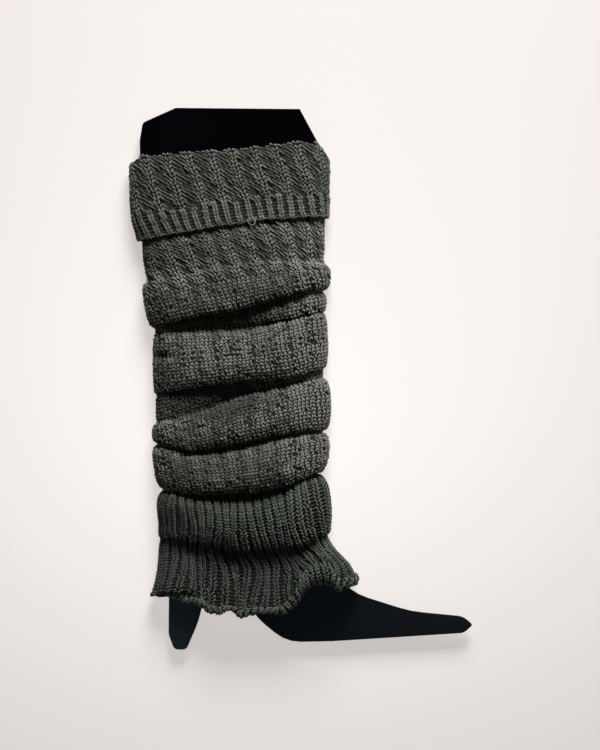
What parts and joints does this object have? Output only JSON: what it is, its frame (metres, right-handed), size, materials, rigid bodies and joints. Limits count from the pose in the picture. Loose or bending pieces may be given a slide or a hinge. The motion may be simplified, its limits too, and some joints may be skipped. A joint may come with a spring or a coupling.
{
  "type": "knitted leg warmer on a boot-shaped display card",
  "caption": "Slouched chunky knit leg warmer with a turned cuff and a flared rib hem, pulled over a flat board cut as a high-heeled boot and laid on its back.",
  "frame": {"origin": "on the surface the part lies on, under the middle of its bounding box", "axes": "+X across the leg towards the toe of the card, +Y up the leg towards the cuff, +Z away from the surface"},
  "size_m": [0.2388, 0.3776, 0.0324],
  "materials": {
    "knit": "dark olive-grey heathered yarn, textured knit",
    "rib_knit": "dark olive-grey heathered yarn, one by one rib",
    "board": "matt black display board"
  },
  "bodies": {
    "root": {"turned_cuff": "knit", "leg_tube": "knit", "rib_tube": "rib_knit", "display_card": "board"}
  },
  "joints": []
}
